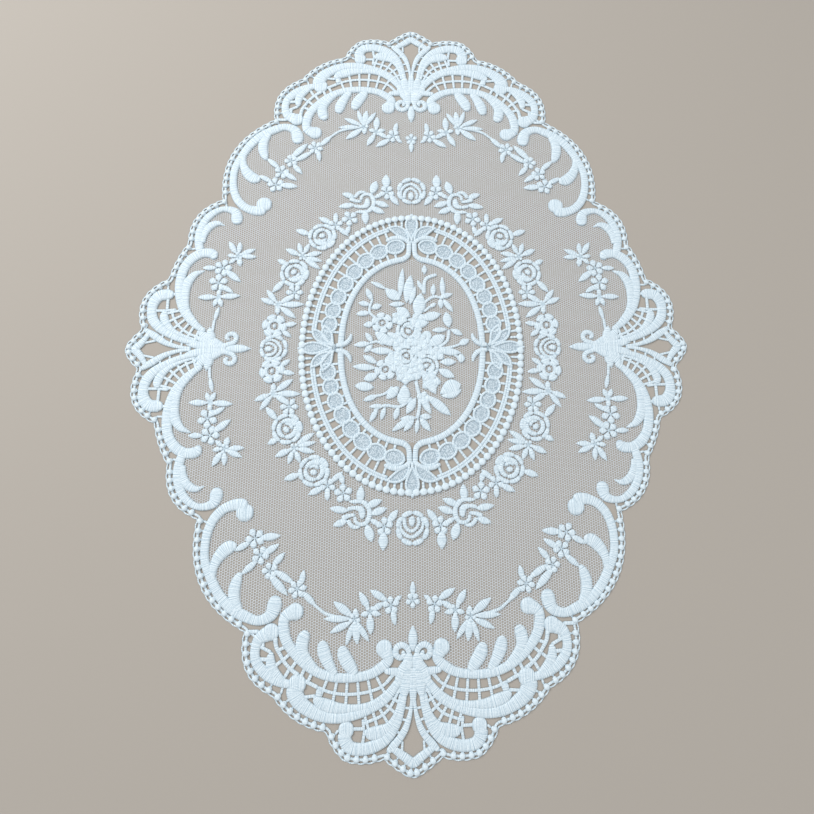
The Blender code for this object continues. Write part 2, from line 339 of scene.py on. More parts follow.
# Each scroll runs from its root to its curled end.
SCROLLS = (
    # Fan over the long end: scroll, and the leaf inside it.
    (
        (3.9, 166, 1.1), (5.4, 172, 1.5), (8.2, 178.6, 2.2), (12.5, 183.9, 2.5), (18, 186.8, 2.6),
        (24, 187.8, 2.6), (29.3, 186.5, 2.8), (31.3, 183.2, 3.1), (30.9, 180.3, 3.5),
    ),
    (
        (5.6, 165.5, 0.8), (6.7, 171, 1), (8.5, 175.4, 1.3), (11.5, 179.3, 2.1), (15.4, 181.2, 3),
        (19, 181.6, 2.8), (22.6, 180.8, 1.3),
    ),
    # Long shoulder scroll and its leaf.
    (
        (5.5, 159.5, 1.2), (13, 168, 1.8), (20, 171.7, 1.9), (27, 173.8, 2.1), (34, 174.8, 2.2),
        (41, 174, 2.5), (48, 171, 3), (53.3, 166.6, 3.6), (54.7, 163.5, 4), (53.8, 160.1, 4.2),
    ),
    (
        (6.5, 158.8, 0.8), (13, 166, 1.3), (20, 170.1, 1.6), (27, 171, 1.6), (34, 170.9, 2.3),
        (40, 169.5, 2.9), (44, 167.6, 2.2), (45.8, 165.4, 1),
    ),
    # Scroll along the net, with three drop leaves hanging from it.
    (
        (13.6, 146.4, 3.8), (11.7, 150.6, 2.6), (17, 155.6, 2.2), (29, 158.3, 2), (43, 156.2, 2.1),
        (54.2, 148.7, 2.2), (60.9, 138, 2.6), (60.7, 131.4, 2.6), (56.2, 128.9, 3.8),
    ),
    ((4, 157.6, 2), (8, 156.4, 1.8), (13.6, 155.8, 1.2)),
    ((26.5, 157, 2), (29.8, 153, 3), (32.3, 149, 3.1), (33.8, 144.6, 2.4)),
    ((36, 157, 1.6), (39.3, 152.5, 2.5), (41.7, 147.6, 3), (43, 142, 2.3)),
    ((43.6, 156, 1.6), (49, 151.4, 2.5), (52.1, 146.6, 2.9), (52.1, 142, 3), (50.2, 137.5, 2.4)),
    # Lobe beside the shoulder, and its leaf.
    (
        (56.5, 160.4, 1.8), (63, 158.7, 2.1), (69.3, 154.8, 2.5), (73.4, 149.8, 2.3), (74, 145.4, 2.2),
        (72.6, 140.8, 2.6), (67.3, 137.8, 3.8),
    ),
    ((57.5, 160.6, 0.8), (62.4, 157, 1.9), (65.8, 153.2, 2.5), (66.6, 149.6, 2), (66.3, 146.2, 1.2)),
    (
        (53, 156.8, 1), (57.2, 153.7, 0.8), (60, 150.9, 0.8), (62.2, 147.6, 0.8), (64, 144.6, 0.9),
        (65, 139.6, 1),
    ),
    # Corner scroll, with two leaves inside.
    (
        (65.6, 121.6, 3.2), (66, 126, 3.5), (67.6, 130.2, 2.9), (72.6, 132.5, 2.2), (80, 130.4, 2.5),
        (87.5, 126, 2.5), (93.2, 119.8, 2.4), (97.3, 112.5, 2.3), (100.3, 105.5, 2.1), (100.9, 99, 2.1),
        (100, 91.5, 2.2), (97, 85, 2.3), (91.5, 80.5, 2.4), (85, 79.4, 3), (81.6, 80.6, 3.2),
    ),
    ((82, 128.5, 1.8), (84.9, 123.6, 2.6), (85.3, 117.5, 2.7), (83.8, 113, 1.9), (82.6, 110.9, 0.6)),
    ((96.4, 114, 1.5), (96, 108.5, 2), (93.8, 103.4, 2.8), (89.8, 99.6, 3.2), (85.6, 98.4, 2.6)),
    # First side scroll and its pointed leaf.
    (
        (97.2, 70.8, 3), (97.2, 74.4, 3.3), (98.2, 78, 2.6), (104.5, 80.2, 1.6), (112, 76.3, 2),
        (117, 65.5, 2.3), (116.3, 57, 2.3), (115.4, 54.2, 2.2),
    ),
    ((115, 59.5, 1.5), (114.3, 65, 1.9), (111.6, 69.6, 2.1), (107.6, 71.5, 1.5), (103.4, 70.2, 0)),
    # Second side scroll, which runs down into the side fan, and its pointed leaf.
    (
        (107.4, 50.2, 2), (108.6, 52.9, 2.7), (113.3, 54, 2.6), (118.8, 51.5, 2.7), (122.8, 46.5, 2.6),
        (124.8, 39, 2.6), (124.6, 30, 2.4), (122.3, 22.5, 2.3), (117.5, 15.6, 2.1), (109.5, 9, 1.4),
    ),
    (
        (112.4, 43.7, 0.2), (117.6, 41.2, 1.8), (120.9, 36.6, 2.6), (121.8, 29.5, 2.4),
        (120.4, 21.5, 2.1), (113.5, 12.4, 1.3),
    ),
    # Scroll and leaf of the side fan.
    (
        (127.4, 29.7, 2.6), (130.8, 30, 3), (135, 29.2, 3.1), (137.6, 26, 3), (138.3, 21.5, 2.6),
        (137.3, 16.5, 2.7), (133.8, 12, 2.5), (128, 8.1, 2), (121, 4.8, 1.5), (112, 2.8, 1.2),
    ),
    (
        (113, 4.6, 0.6), (120.5, 7, 0.9), (126.3, 10, 1.4), (130.2, 14.3, 2.1), (131.6, 18, 2.2),
        (130.8, 21.2, 1),
    ),
    # V down both sides of the kite eyelets.
    (
        (0.6, 164, 0.6), (0.65, 168.5, 0.65), (1.1, 172.5, 0.85), (2.2, 176.6, 1.2), (3.7, 180.3, 1.5),
        (6, 183.7, 1.6), (9.2, 187, 1.7), (12, 189.5, 0.9),
    ),
    (
        (116, 0.5, 0.6), (121, 0.8, 0.85), (125.5, 1.9, 1.15), (129.5, 3.4, 1.45), (133, 5.5, 1.8),
        (135.9, 7.5, 1.9), (138.2, 8.9, 1.6), (140.8, 11, 0.9),
    ),
    # Curls under each calyx.
    (
        (1.6, 149, 1.2), (2.7, 146.3, 1.35), (5.1, 144.9, 1.4), (7.8, 146.2, 1.4), (8, 149, 1.4),
        (5.8, 150.4, 1.2), (4.3, 149, 1), (5.1, 147.4, 0.8),
    ),
    (
        (100, 1.4, 1.2), (96.8, 2.3, 1.2), (93.7, 3.7, 1.2), (92.9, 6.2, 1.2), (94.9, 8.1, 1.2),
        (97.4, 7.4, 1.1), (97.8, 5.6, 0.9), (96.2, 5, 0.8),
    ),
)
# Chevrons that close the kite eyelets, half of each, from the axis outwards.
LONG_CHEVRON = ((0, 193.9, 2.1), (3.6, 191.7, 1.9), (7.4, 189.2, 1.6), (10.4, 187.2, 1.2))
SIDE_CHEVRON = ((144.6, 0, 2.1), (142.1, 3, 1.8), (140, 5.9, 1.4), (138.2, 8.9, 1.1))
# Calyx of each fan: leaf rows as base x, y, tip x, y and width.
LONG_CALYX = (
    (2.2, 149, 4.2, 168.4, 6.4), (1.2, 149.5, 8.4, 163, 5.4), (0.6, 151, 0.5, 172, 2.6),
    (1.6, 147.5, 3, 158, 5.6),
)
SIDE_CALYX = (
    (98, 0.9, 119, 2.4, 5), (98.5, 1.6, 114, 6, 5.8), (105.4, 1.6, 107.3, 11.8, 4.8),
    (105, 2.6, 113, 9.8, 5), (97, 0.6, 106, 2.4, 4.8),
)
SCROLL_KNOBS = (
    (30.7, 179.7, 3.6), (53.8, 160.1, 4.2), (13.6, 146.2, 3.9), (56, 129, 3.9), (67, 137.7, 3.9),
    (82.7, 83.2, 4.3),
)

# White polyester thread laid side by side: a soft sheen, fine streaks across each band, and a cool
# grey painted shade between its ribs.
satin_polyester = laid_thread(
    "satin_polyester", lit="#E1EDF3", shaded="#ACC1CE", roughness=0.6, streak=2.4, fluff=1.3
)
border_bands = repeated([band(row) for row in SCROLLS])
border_bands += repeated([knob(*row) for row in SCROLL_KNOBS])
border_bands += repeated([leaf(*row) for row in LONG_CALYX + SIDE_CALYX])
chevron = [(-x, y, half) for x, y, half in LONG_CHEVRON[:0:-1]] + list(LONG_CHEVRON)
border_bands += repeated([band(chevron), leaf(0, 148, 0, 136.6, 4.4)], across=(1,))
chevron = [(x, -y, half) for x, y, half in SIDE_CHEVRON[:0:-1]] + list(SIDE_CHEVRON)
border_bands += repeated([band(chevron)], along=(1,))
border_bands += repeated([leaf(99, 0, 84.8, 0, 4.4)], along=(1,))
scroll_satin = satin(
    "scroll_satin", border_bands, satin_polyester, base=BORDER_BASE, crown=BORDER_CROWN
)
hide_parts("scroll_border")

# ---------------------------------------------------------------------------------------------
# Edging round the outside.
# A row of round stitched beads on a cord, tied to the scrolls by short bars, with a fine picot cord
# looped from bead to bead. Worked in one with the scrolls.

# Outer edge of the picots, a row for each arc: its start, and its rise beyond its chord.
SCALLOPS = (
    (1.8, 199.9, 0.4), (13.5, 192.4, 1.4), (31.0, 192.6, 1.3), (40.0, 180.6, 3.0), (65.0, 165.2, 6.2),
    (79.8, 137.4, 10.3), (106.0, 86.0, 5.8), (122.8, 59.5, 1.1), (131.2, 39.0, 7.2), (142.6, 10.6, 0.6),
    (149.8, 1.8, 0.0),
)
EDGE_PITCH = 4.45  # from one bead to the next
CORD_STEPS = 6  # stations of a cord for each bead
PICOT_INSET = 0.36  # middle of the picot cord inside the outer edge
PICOT_BOW = 0.2  # how far it bows out between two beads
BEAD_INSET = 1.9
# A bead's lozenge of thread: distance inside the outer edge, and half width.
LOZENGE = ((0.3, 1), (1, 1.3), (1.9, 1.65), (2.6, 1.25), (3.7, 0.85))
PICOT_HALF = 0.22
BEAD_CORD_HALF = 0.48
TIE_HALF = 0.45
LEAST_BAR = 0.5  # a shorter bar is left out
ASIDE = 3  # a bar's target counts as further off by this many times its distance aside
# Length, width and height of a bead, and its underside above the table.
EDGE_BEAD = (3, 2.7, 1.3, 0.15)


def arc(start, end, rise, steps=24):
    """Points of a shallow arc that stands rise to the left of its chord, without the last one."""
    (x0, y0), (x1, y1) = start, end
    points = []
    for i in range(steps):
        t = i / steps
        bow = rise * 4 * t * (1 - t) / math.hypot(x1 - x0, y1 - y0)
        points.append((x0 + (x1 - x0) * t - (y1 - y0) * bow, y0 + (y1 - y0) * t + (x1 - x0) * bow))
    return points


def all_round(quadrant):
    """A clockwise closed loop from the points of one quadrant, given from long end to side."""
    half = quadrant + [(x, -y) for x, y in reversed(quadrant)]
    return half + [(-x, y) for x, y in reversed(half)]


def evenly(loop, count):
    """count points at equal distances round a closed loop, as an array of x and y."""
    closed = numpy.array([*loop, loop[0]], float)
    steps = numpy.hypot(*numpy.diff(closed, axis=0).T)
    along = numpy.concatenate([[0.0], numpy.cumsum(steps)])
    at = numpy.linspace(0, along[-1], count, endpoint=False)
    return numpy.stack([numpy.interp(at, along, closed[:, k]) for k in (0, 1)], axis=1)


def inside(loop, distance):
    """A clockwise closed loop moved inwards by a distance, or by one for each of its points."""
    ahead = numpy.roll(loop, -1, axis=0) - numpy.roll(loop, 1, axis=0)
    inwards = numpy.stack([ahead[:, 1], -ahead[:, 0]], axis=1) / numpy.hypot(*ahead.T)[:, None]
    return loop + inwards * numpy.reshape(distance, (-1, 1))


def with_half(loop, half):
    """The points of a loop as stations of one half width."""
    return [(x, y, half) for x, y in loop]


def pad_tree():
    """Sets a domed pad on each point of a path, its length in line with the path."""
    inputs = [(label, "Float") for label in ("Length", "Width", "Height", "Base")]
    tree, given, result = new_tree("pads_along_path", [*inputs, ("Thread", "Material")])
    spots = add(
        tree, "GeometryNodeCurveToPoints", {"Curve": given.outputs["Geometry"]}, mode="EVALUATED"
    )
    turn = add(
        tree,
        "FunctionNodeAlignRotationToVector",
        {"Vector": spots.outputs["Tangent"]},
        axis="X",
        pivot_axis="Z",
    )
    size = add(
        tree,
        "ShaderNodeCombineXYZ",
        {"X": given.outputs["Length"], "Y": given.outputs["Width"], "Z": given.outputs["Height"]},
    )
    pad = add(tree, "GeometryNodeMeshUVSphere", {"Segments": 10, "Rings": 5, "Radius": 0.5})
    pads = add(
        tree,
        "GeometryNodeInstanceOnPoints",
        {"Points": spots, "Instance": pad, "Rotation": turn, "Scale": size},
    )
    rise = add(
        tree,
        "ShaderNodeMath",
        {0: given.outputs["Height"], 1: 0.5, 2: given.outputs["Base"]},
        operation="MULTIPLY_ADD",
    )
    lift = add(tree, "ShaderNodeCombineXYZ", {"Z": rise})
    lifted = add(
        tree,
        "GeometryNodeTranslateInstances",
        {"Instances": pads, "Translation": lift, "Local Space": False},
    )
    dye(tree, lifted, given, result)
    return tree


PADS = pad_tree()


def padding(name, loop, length, width, height, base, thread):
    """A pad on each point of a loop, as one piece."""
    sizes = {"Length": length, "Width": width, "Height": height, "Base": base}
    sizes = {label: size * MM for label, size in sizes.items()} | {"Thread": thread}
    worked(name, path_object([with_half(loop, 1.0)], closed=True), PADS, sizes)


corners = [(x, y) for x, y, _ in SCALLOPS]
quadrant = []
for start, end, (_, _, rise) in zip(corners, corners[1:], SCALLOPS):
    quadrant += arc(start, end, rise)
outer_edge = all_round([*quadrant, corners[-1]])
around = sum(math.dist(p, q) for p, q in zip(outer_edge, outer_edge[1:] + outer_edge[:1]))
edge_beads = 4 * round(around / EDGE_PITCH / 4)

edge = evenly(outer_edge, edge_beads * CORD_STEPS)
bows = [PICOT_BOW * math.cos(2 * math.pi * i / CORD_STEPS) for i in range(len(edge))]
picots = inside(edge, PICOT_INSET + numpy.array(bows))
bead_line = inside(edge, BEAD_INSET)
cords = [with_half(picots, PICOT_HALF), with_half(bead_line, BEAD_CORD_HALF)]
satin("edging_cords", cords, satin_polyester, base=0.2, crown=0.9, closed=True)
padding("edging_beads", bead_line[::CORD_STEPS], *EDGE_BEAD, satin_polyester)


def tie(start, targets, half, square=None):
    """A bar from a point to the nearest target, or none where they touch. square is a direction
    that it keeps near to."""
    ahead = targets - start
    distance = numpy.hypot(*ahead.T)
    if square is not None:
        distance += ASIDE * numpy.abs(ahead @ (-square[1], square[0]))
    foot = targets[distance.argmin()]
    return [band(((*start, half), (*foot, half)))] if math.dist(foot, start) > LEAST_BAR else []


# Each bead sits on a lozenge, which a bar ties to the nearest stitched band.
caught = numpy.vstack([path[:, :2] for path in border_bands])
across = [inside(edge, distance)[::CORD_STEPS] for distance, _ in LOZENGE]
ties = []
for i, last in enumerate(across[-1]):
    ties.append(band([(*line[i], half) for line, (_, half) in zip(across, LOZENGE)]))
    ties += tie(last, caught, TIE_HALF)
satin("edging_bars", ties, satin_polyester, base=0.15, crown=0.95)

# ---------------------------------------------------------------------------------------------
# Bars in the open parts of the border.
# Wrapped thread bars, about a millimetre and a half wide, that cross the gaps between scrolls and
# leaves. Three gaps in each quadrant have a cord along their middle, with bars across it like rungs.

# The cord's points, the number of bars across it, and their reach to its left and right.
LADDERS = (
    (((6, 162.5), (8.4, 167.4), (11.4, 172), (15.5, 174.9), (19.5, 176.3), (23.4, 177.6)), 6, 4, 4),
    (((12.4, 160.8), (15, 162.6), (19, 164), (25, 165), (33, 165), (39, 163.9), (44.3, 161.8)), 6, 5, 5),
    (((112, 6), (118, 8.4), (122, 11.2), (125, 14.5), (127, 18.3), (128, 22)), 6, 5.2, 3.6),
)
# Single bars: from, to, width.
BARS = (
    (22.2, 180, 23.2, 186, 1.2), (22, 179.6, 29, 179.4, 1.3), (23.1, 175.6, 22.6, 180.5, 1.2),
    (7.6, 155.6, 12.8, 161.2, 1.5), (44, 162, 50.6, 158.8, 1.6), (49, 159.6, 47.4, 156.2, 1.4),
    (52.6, 158, 50.4, 153.4, 1.4), (43.3, 162.2, 43.9, 166, 2.8), (45, 165.3, 51.5, 165.9, 1.3),
    (57, 154, 54.6, 150.6, 1.4), (61, 150.2, 57.6, 147.2, 1.4), (63.8, 145.8, 60, 144.4, 1.4),
    (57.6, 153.6, 59.8, 157.4, 1.4), (61.4, 150.2, 64.8, 152.6, 1.4), (67.4, 149.5, 72, 149.2, 1.6),
    (66.3, 146.5, 71.8, 143.8, 1.4), (70.3, 144.6, 70.6, 140.6, 1.2), (130.3, 21, 130.4, 28.4, 1.4),
    (130.6, 21, 137, 21, 1.3), (125.5, 21.6, 131, 21, 1.3), (125.6, 30.4, 128.6, 30, 1.4),
    (1.2, 171.9, 5, 171.3, 0.9), (2.6, 176.9, 6.6, 175.7, 0.9), (5, 182.2, 9, 180.7, 0.9),
    (121.1, 0.8, 121, 4, 0.9), (127, 1.6, 126.3, 5.8, 0.9), (132, 4, 130.9, 8.4, 0.9),
    (5.2, 190, 4.9, 185, 0.9), (134.4, 4.6, 140.6, 3.3, 1), (72.5, 137.3, 79.2, 137.3, 1.6),
)
CORD_HALF = 0.62  # half width of the cord, and of a bar across it
RUNG_HALF = 0.6


def ladder(points, count, left, right):
    """The cord of a ladder and its bars, square to the cord and evenly spaced."""
    path = through(points)
    steps = numpy.hypot(*numpy.diff(path, axis=0).T)
    along = numpy.concatenate([[0.0], numpy.cumsum(steps)])
    paths = [band([(x, y, CORD_HALF) for x, y in path])]
    slopes = numpy.gradient(path, along, axis=0)
    for i in range(count):
        at = along[-1] * (i + 0.5) / count
        x, y, dx, dy = (numpy.interp(at, along, column) for column in (*path.T, *slopes.T))
        ends = ((x + dy * right, y - dx * right), (x, y), (x - dy * left, y + dx * left))
        paths.append(band([(*end, RUNG_HALF) for end in ends]))
    return paths


bars = [path for row in LADDERS for path in ladder(*row)]
bars += [band(((x0, y0, w / 2), (x1, y1, w / 2))) for x0, y0, x1, y1, w in BARS]
satin("border_bars", repeated(bars), satin_polyester, base=0.25, crown=0.8)

# ---------------------------------------------------------------------------------------------
# Net ground between border and ring.
# Machine-made nylon tulle: six-sided holes, about a millimetre across, in columns that are set
# half a hole apart. Its edge is caught under the scrolls and the ring.

# Where the net is stitched down under the border.
SEAM = (
    (0, 143.5), (8, 144.5), (14, 151.5), (19, 155.8), (31, 157.4), (46, 152), (55, 143.5),
    (59.5, 132.5), (66, 128), (75, 130), (84, 126.5), (91.5, 119), (96.5, 109.5), (98.8, 98), (96, 87),
    (95.5, 80), (103, 78), (111, 73.5), (114.8, 63), (115.5, 53.5), (119, 46), (119.5, 32), (118, 20.5),
    (110, 10.5), (101.5, 4.5), (98, 0),
)
OVAL_POWER = 2.07  # the ring is a little squarer than an ellipse
RING_BEAD_LINE = (58.3, 75.0)
# Pitch of the holes across and along. Real ones are about 1.0 mm, drawn a fifth coarser so that they
# stay even from afar.
HOLE_WIDE = 1.2
HOLE_LONG = 1.225
NET_THREAD = 0.18
NET_HEIGHT = 0.4
SEAM_CAUGHT = 1.5  # the net runs on that far under the scrolls
RING_CAUGHT = 0.4  # and that far past the middle of the ring's beads


def oval(half_width, half_length, count=360, power=OVAL_POWER):
    """A clockwise oval from the long end."""
    points = []
    for i in range(count):
        across, along = math.sin(2 * math.pi * i / count), math.cos(2 * math.pi * i / count)
        x = math.copysign(abs(across) ** (2 / power), across) * half_width
        y = math.copysign(abs(along) ** (2 / power), along) * half_length
        points.append((x, y))
    return points


def open_holes(material):
    """Opens six-sided holes in a material, in columns set half a hole apart. The threads lie where
    a spot is as far from the middle of one hole as from the next."""
    tree = material.node_tree
    place = add(tree, "ShaderNodeTexCoord")
    spot = add(tree, "ShaderNodeSeparateXYZ", {0: place.outputs["Object"]})
    half_hole = HOLE_LONG / 2
    apart = math.hypot(HOLE_WIDE, half_hole)  # from a hole to the next one in the next column
    across = add(
        tree, "ShaderNodeMath", {0: spot.outputs["X"], 1: HOLE_WIDE * MM}, operation="PINGPONG"
    )
    along = add(
        tree, "ShaderNodeMath", {0: spot.outputs["Y"], 1: half_hole * MM}, operation="PINGPONG"
    )
    sideways = add(tree, "ShaderNodeMath", {0: across, 1: HOLE_WIDE / apart}, operation="MULTIPLY")
    lengthways = add(tree, "ShaderNodeMath", {0: along, 1: half_hole / apart}, operation="MULTIPLY")
    towards_next = add(tree, "ShaderNodeMath", {0: sideways, 1: lengthways}, operation="ADD")
    slanted = add(
        tree, "ShaderNodeMath", {0: apart / 2 * MM, 1: towards_next}, operation="SUBTRACT"
    )
    in_column = add(tree, "ShaderNodeMath", {0: slanted, 1: 0.0}, operation="GREATER_THAN")
    doubled = add(tree, "ShaderNodeMath", {0: along, 1: 2.0}, operation="MULTIPLY")
    change = add(tree, "ShaderNodeMath", {0: half_hole * MM, 1: doubled}, operation="SUBTRACT")
    swap = add(tree, "ShaderNodeMath", {0: in_column, 1: change}, operation="MULTIPLY")
    level = add(tree, "ShaderNodeMath", {0: along, 1: swap}, operation="ADD")
    slanted = add(tree, "ShaderNodeMath", {0: slanted}, operation="ABSOLUTE")
    nearest = add(tree, "ShaderNodeMath", {0: slanted, 1: level}, operation="MINIMUM")
    thread = add(tree, "ShaderNodeMath", {0: nearest, 1: NET_THREAD / 2 * MM}, operation="LESS_THAN")
    tree.links.new(thread.outputs[0], tree.nodes["Principled BSDF"].inputs["Alpha"])


def net_panel(name, outlines, node):
    """A flat panel of the net, cut to the first outline, the others being openings in it."""
    curve = bpy.data.curves.new(name, "CURVE")
    curve.dimensions = "2D"
    curve.fill_mode = "BOTH"
    for outline in outlines:
        spline = curve.splines.new("POLY")
        spline.points.add(len(outline) - 1)
        for point, (x, y) in zip(spline.points, outline):
            point.co = (x * MM, y * MM, 0.0, 1.0)
        spline.use_cyclic_u = True
    source = bpy.data.objects.new(name, curve)
    mesh = bpy.data.meshes.new_from_object(source)
    bpy.data.objects.remove(source)
    for vertex in mesh.vertices:
        vertex.co.z = NET_HEIGHT * MM
    mesh.materials.append(net_nylon)
    panel = bpy.data.objects.new(name, mesh)
    bpy.context.scene.collection.objects.link(panel)
    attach(panel, "root")
    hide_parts(node)


# Matt nylon monofilament, knitted into a net so fine that it only veils what lies under it.
net_nylon = laid_thread(
    "net_nylon", lit="#DCE6EE", shaded="#DCE6EE", roughness=0.7, streak=0.0, fluff=0.0
)
open_holes(net_nylon)
seam = all_round([(x, y) for x, y, _ in through([(*point, 0) for point in SEAM], step=2.0)])
seam = [p for p, q in zip(seam, seam[1:] + seam[:1]) if math.dist(p, q) > 0.1]
seam = inside(numpy.array(seam), -SEAM_CAUGHT)
under_ring = oval(*[half - RING_CAUGHT for half in RING_BEAD_LINE])
net_panel("tulle_ground", [seam, under_ring], "net_ground")

# ---------------------------------------------------------------------------------------------
# Sprays and garland on the net ground.
# Small flowers, leaves and roses in white satin stitch, worked straight onto the net. The sprays
# stand beyond the garland, which runs round the ring.

MOTIF_BASE = 0.42
MOTIF_CROWN = 0.65


def flower(x, y, reach, petals, turn):
    """Pointed petals round a small knot."""
    paths = [knob(x, y, reach * 0.1)]
    for i in range(petals):
        angle = math.radians(turn) + 2 * math.pi * i / petals
        dx, dy = math.cos(angle), math.sin(angle)
        width = reach * 3.4 / petals
        foot = (x + dx * reach * 0.1, y + dy * reach * 0.1)
        paths.append(leaf(*foot, x + dx * reach, y + dy * reach, width, 0, 0.62))
    return paths


def ring_path(x, y, radius, half, steps=24):
    """A round ring of thread, as a closed path."""
    turns = [2 * math.pi * i / steps for i in range(steps)]
    return [(x + radius * math.sin(t), y + radius * math.cos(t), half) for t in turns]


def eyelet_flower(x, y, reach, turn):
    """Six petals that run into one another, and the heart that stands in their round opening."""
    paths = [knob(x, y, reach * 0.14), ring_path(x, y, reach * 0.47, reach * 0.13)]
    for i in range(6):
        angle = math.radians(turn + 60 * i)
        dx, dy = math.cos(angle), math.sin(angle)
        near = (x + dx * reach * 0.36, y + dy * reach * 0.36)
        paths.append(leaf(*near, x + dx * reach, y + dy * reach, reach * 0.8, 0, 0.62))
    return paths


def crescent(x, y, radius, start, sweep, half):
    """A petal that lies along part of a circle, widest in the middle."""
    stations = []
    for t, share in ((0, 0.75), (0.25, 1), (0.5, 1.08), (0.75, 1), (1, 0.75)):
        angle = math.radians(start + sweep * t)
        stations.append((x + radius * math.cos(angle), y + radius * math.sin(angle), half * share))
    return band(stations)


def placed(bands, x, y, radius, turn):
    """Bands given on a flower of radius 1 that points along u, set in place at its real size."""
    dx, dy = math.cos(math.radians(turn)), math.sin(math.radians(turn))
    turned = numpy.array(((dx, dy, 0), (-dy, dx, 0), (0, 0, 1)))
    return [band(numpy.array(row) @ turned * radius + (x, y, 0)) for row in bands]


def rose(x, y, radius, turn):
    """An open rose: seven outer petals, a ring of inner ones caught to them on one side, and a
    folded heart."""
    outer = [crescent(x, y, radius * 0.86, turn + 360 * i / 7, 52, radius * 0.125) for i in range(7)]
    caught_side = crescent(x, y, radius * 0.7, turn + 75, 115, radius * 0.1)
    inner = [crescent(x, y, radius * 0.53, turn + 15 + 120 * i, 121, radius * 0.13) for i in range(3)]
    heart = (
        ((0.1, 0.22, 0.09), (0.08, -0.02, 0.17), (0.02, -0.24, 0.09)),
        ((-0.15, 0.3, 0.08), (-0.32, 0, 0.1), (-0.22, -0.3, 0.08)),
    )
    return [*outer, caught_side, *inner, *placed(heart, x, y, radius, turn)]


def half_open_rose(x, y, radius, turn):
    """A rose from the side: eight outer petals, and arches of folded ones that point along turn."""
    outer = [crescent(x, y, radius * 0.87, turn + 45 * i, 46, radius * 0.13) for i in range(8)]
    folds = (
        (
            (-0.42, 0.7, 0.04), (0.05, 0.68, 0.07), (0.39, 0.4, 0.1), (0.51, 0.04, 0.08),
            (0.32, -0.32, 0.1), (0.02, -0.57, 0.08), (-0.31, -0.62, 0.06), (-0.6, -0.5, 0.06),
        ),
        (
            (-0.6, 0.5, 0.1), (-0.11, 0.43, 0.1), (0.13, 0.21, 0.08), (0.17, -0.01, 0.08),
            (-0.01, -0.24, 0.07), (-0.27, -0.37, 0.08), (-0.62, -0.32, 0.08),
        ),
        ((-0.08, 0.05, 0.05), (-0.33, 0.04, 0.18), (-0.66, 0.03, 0.14)),
    )
    return [*outer, *placed(folds, x, y, radius, turn)]


# Leaves: base, tip and width. Flowers: middle, reach, petals and turn. Roses: middle, radius, turn.
# Stems: stations.
SPRAY_LEAVES = (
    (9.8, 129, 8.5, 136.2, 2.8), (12.3, 125.2, 20.5, 120.3, 3.4), (9, 125.5, 5.4, 123.2, 2),
    (20.5, 131, 20, 140, 3.6), (20, 130.4, 15.2, 131.2, 2.4), (21, 130.4, 25, 131.3, 2.4),
    (19.5, 129.5, 14, 126, 2.8), (21, 128.8, 25.8, 120.8, 3.4), (27, 134, 20.8, 143, 2.8),
    (27.5, 134.5, 26.3, 144, 3.6), (28.5, 134.5, 31.6, 144.3, 2.6), (29, 134, 39.3, 138.7, 3),
    (29.5, 132.8, 42.4, 132.6, 3), (27.5, 132, 27.4, 128.2, 2.6), (28.5, 132, 38, 125, 3.8),
    (46.5, 126.6, 53, 120.2, 3), (53.8, 117.5, 52.7, 110.4, 2.8), (60, 121.8, 69.5, 111.8, 3.8),
    (57, 116.5, 67, 110.2, 3.2), (68, 108.5, 62.3, 102.2, 3), (75, 105.3, 82.5, 111.8, 3),
    (73, 103.2, 65.2, 98.3, 3.2), (79, 97, 86.5, 101, 3), (75, 95.3, 64.7, 94.3, 3.6),
    (94, 52.8, 85.8, 56.2, 2.8), (93.5, 52, 85, 51.6, 2.8), (94.8, 53.5, 94.4, 60.4, 2.8),
    (96, 53.3, 100.5, 60.7, 3.2), (96.5, 52, 100.8, 52.6, 2.4), (94.5, 50.8, 93.4, 46.2, 3.2),
    (96, 50.8, 99.7, 47.8, 2.4), (106, 45.3, 113.5, 45.1, 2.8), (101.5, 44, 92.8, 37.2, 3.6),
    (103, 35, 96.2, 31, 2.8), (104, 29, 103.6, 33, 2.4), (103.3, 28.6, 92.3, 29.3, 3.2),
    (104.8, 28.6, 114.8, 28.3, 3.2), (103.6, 27.8, 101.6, 23.2, 2.6), (104.4, 27.8, 106.2, 23.2, 2.6),
    (103.2, 23, 105.1, 15, 2.2),
)
SPRAY_FLOWERS = (
    (10.5, 127.3, 4.2, 5, 60), (20.5, 130, 3, 5, 90), (27.8, 133, 3, 5, 20), (55.5, 119, 4.6, 6, 10),
    (69, 110.5, 4, 5, 70), (74, 103.3, 4.4, 5, 30), (77, 95.3, 4.8, 5, 80), (95, 52, 2.6, 5, 0),
    (102.7, 45.2, 5, 5, 36), (104.5, 36.6, 5.2, 5, 90), (104, 28.4, 1.8, 5, 0),
)
SPRAY_STEMS = (
    ((33, 132.6, 0.8), (42, 130, 0.6), (49, 124.5, 0.6)),
    ((105, 16, 0.6), (105.6, 9.5, 0.7)),
)
